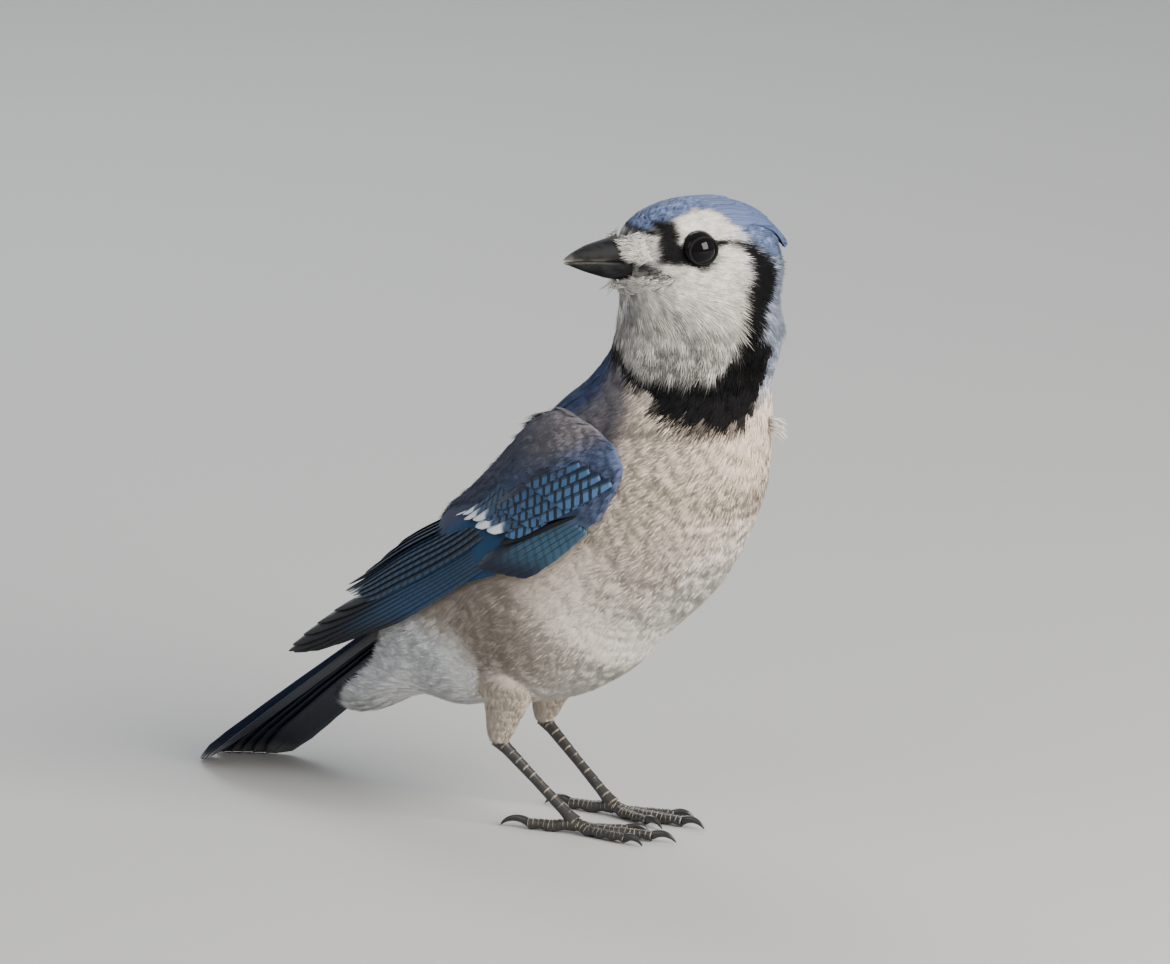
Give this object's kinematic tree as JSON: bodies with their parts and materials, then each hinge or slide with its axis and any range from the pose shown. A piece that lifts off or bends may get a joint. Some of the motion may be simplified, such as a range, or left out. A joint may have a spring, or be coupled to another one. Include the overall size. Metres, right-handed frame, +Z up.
{
  "type": "blue jay",
  "caption": "Standing crested songbird looking back over its shoulder, wings folded, tail tip down on the floor.",
  "frame": {"origin": "on the floor under the middle of the whole bird's bounding box", "axes": "+X the way the breast points, +Y the bird's left, +Z up"},
  "size_m": [0.1822, 0.067, 0.1773],
  "materials": {
    "body_feathers": "soft warm grey plumage",
    "face_feathers": "white plumage with black bands",
    "crest_feathers": "pale blue plumage",
    "wing_feathers": "blue flight feathers barred with black",
    "tail_feathers": "dark blue flight feathers",
    "scale": "dark horny scutes",
    "bill": "polished dark horn",
    "claw": "dark horn",
    "eye": "wet dark eye"
  },
  "bodies": {
    "root": {"bill_lower": "bill", "bill_upper": "bill", "claw_hind_left": "claw", "claw_hind_right": "claw", "claw_inner_left": "claw", "claw_inner_right": "claw", "claw_middle_left": "claw", "claw_middle_right": "claw", "claw_outer_left": "claw", "claw_outer_right": "claw", "crest": "crest_feathers", "eye_left": "eye", "eye_right": "eye", "foot_left": "scale", "foot_right": "scale", "head": "face_feathers", "neck": "face_feathers", "tail": "tail_feathers", "tarsus_left": "scale", "tarsus_right": "scale", "thigh_left": "body_feathers", "thigh_right": "body_feathers", "torso": "body_feathers", "wing_left": "wing_feathers", "wing_right": "wing_feathers"}
  },
  "joints": []
}
